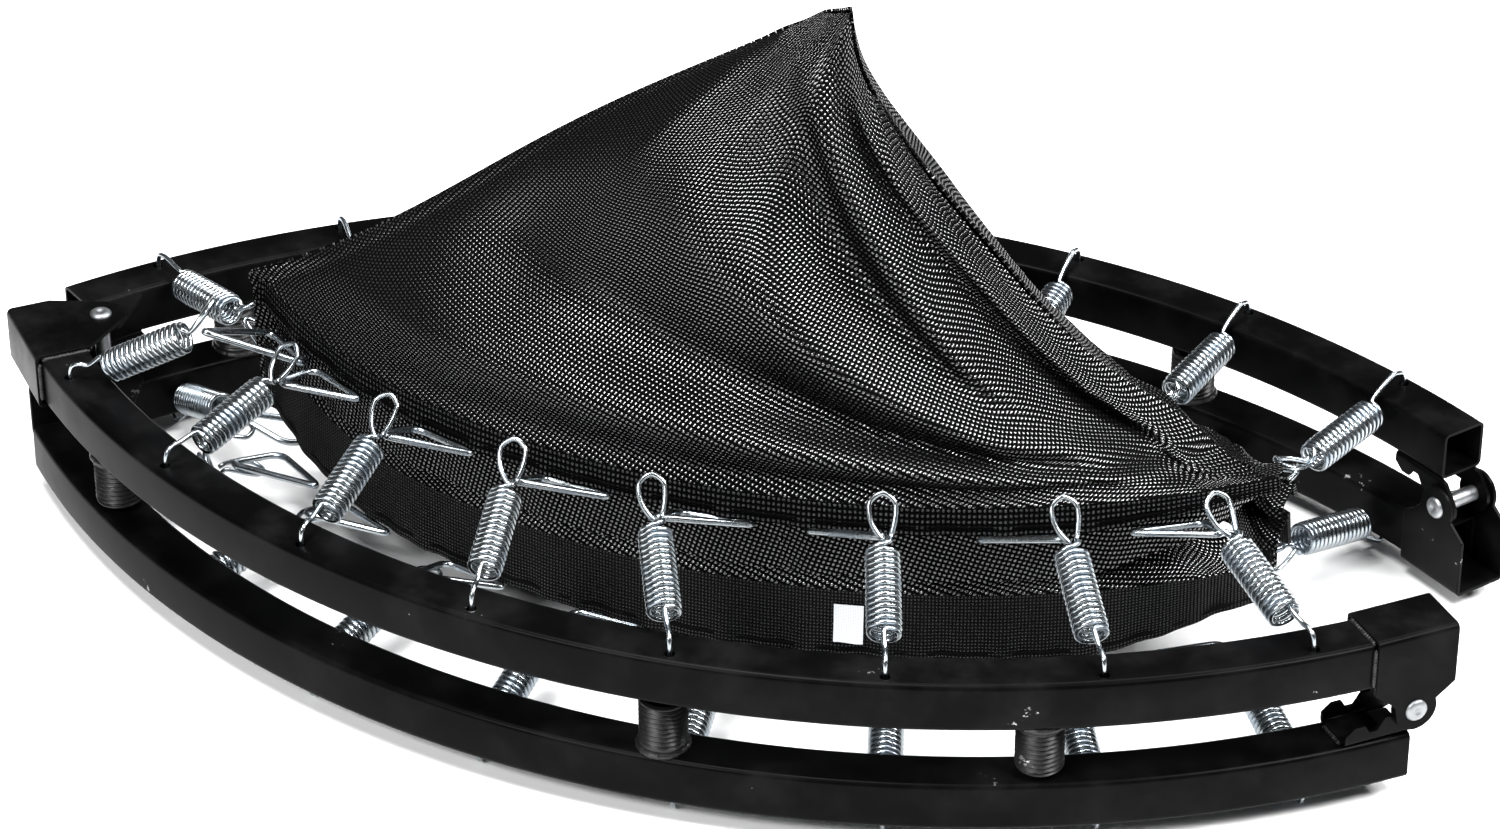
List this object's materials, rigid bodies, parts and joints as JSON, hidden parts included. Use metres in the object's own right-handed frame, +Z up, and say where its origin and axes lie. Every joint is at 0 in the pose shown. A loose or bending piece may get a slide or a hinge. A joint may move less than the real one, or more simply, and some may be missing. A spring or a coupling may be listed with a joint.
{
  "type": "folding mini trampoline",
  "caption": "Folding mini trampoline folded to a quarter: two layers of curved square tube, corner and fold hinges, springs, V-rings and a slack jump mat gathered to a peak.",
  "frame": {"origin": "middle of the folded ring's box in plan, at the level on which it stands", "axes": "+X along the folded lens towards the fold hinges, +Y towards the back tubes, +Z up"},
  "size_m": [0.7488, 0.4222, 0.3122],
  "materials": {
    "black_coat": "satin black powder coat",
    "zinc": "bright zinc plate",
    "mat_web": "black woven plastic net",
    "tag": "bare white woven tape"
  },
  "bodies": {
    "back_quarters": {"tube_bottom_back": "black_coat", "corner_channel_bottom": "black_coat", "corner_rivet_bottom": "zinc", "fold_sleeve_back": "black_coat", "fold_rivet_back": "zinc", "fold_washers_back": "zinc", "leg_studs_bottom_back": "black_coat", "springs_bottom_back": "zinc", "v_rings_bottom_back": "zinc", "hem_bottom_back": "mat_web", "tube_top_back": "black_coat", "corner_tongue_top": "black_coat", "fold_tongue_back": "black_coat", "leg_stud_top_back": "black_coat", "springs_top_back": "zinc", "v_rings_top_back": "zinc", "hem_top_back": "mat_web"},
    "front_quarters": {"tube_bottom_front": "black_coat", "corner_tongue_bottom": "black_coat", "fold_tongue_front": "black_coat", "leg_stud_bottom_front": "black_coat", "springs_bottom_front": "zinc", "v_rings_bottom_front": "zinc", "hem_bottom_front": "mat_web", "care_tag": "tag", "tube_top_front": "black_coat", "corner_channel_top": "black_coat", "corner_rivet_top": "zinc", "fold_sleeve_front": "black_coat", "fold_rivet_front": "zinc", "fold_washers_front": "zinc", "leg_studs_top_front": "black_coat", "springs_top_front": "zinc", "v_rings_top_front": "zinc", "hem_top_front": "mat_web"},
    "mat_bottom_back": {"mat_bottom_back": "mat_web"},
    "mat_top_back": {"mat_top_back": "mat_web"},
    "mat_top_front": {"mat_top_front": "mat_web"},
    "mat_bottom_front": {"mat_bottom_front": "mat_web"}
  },
  "joints": [
    {"name": "corner_fold", "type": "hinge", "parent": "back_quarters", "child": "front_quarters", "pos_m": [-0.32652, 0, 0.05005], "axis": [0, 0, -1], "range_deg": [0, 78.75]},
    {"name": "mat_top_front_slide", "type": "slide", "parent": "front_quarters", "child": "mat_top_front", "axis": [-0.0677, 0.7774, -0.6253], "range_m": [0, 0.3838], "deforming": ["mat_top_front"]},
    {"name": "mat_top_back_slide", "type": "slide", "parent": "back_quarters", "child": "mat_top_back", "axis": [-0.0677, -0.7774, -0.6253], "range_m": [0, 0.3838], "deforming": ["mat_top_back"]},
    {"name": "mat_bottom_back_slide", "type": "slide", "parent": "back_quarters", "child": "mat_bottom_back", "axis": [-0.0627, -0.7199, -0.6912], "range_m": [0, 0.4145], "deforming": ["mat_bottom_back"]},
    {"name": "mat_bottom_front_slide", "type": "slide", "parent": "front_quarters", "child": "mat_bottom_front", "axis": [-0.0627, 0.7199, -0.6912], "range_m": [0, 0.4145], "deforming": ["mat_bottom_front"]}
  ],
  "couplings": [
    {"joint": "mat_top_front_slide", "follows": "corner_fold", "m_per_rad": 0.27923},
    {"joint": "mat_top_back_slide", "follows": "corner_fold", "m_per_rad": 0.27923},
    {"joint": "mat_bottom_back_slide", "follows": "corner_fold", "m_per_rad": 0.30157},
    {"joint": "mat_bottom_front_slide", "follows": "corner_fold", "m_per_rad": 0.30157}
  ]
}
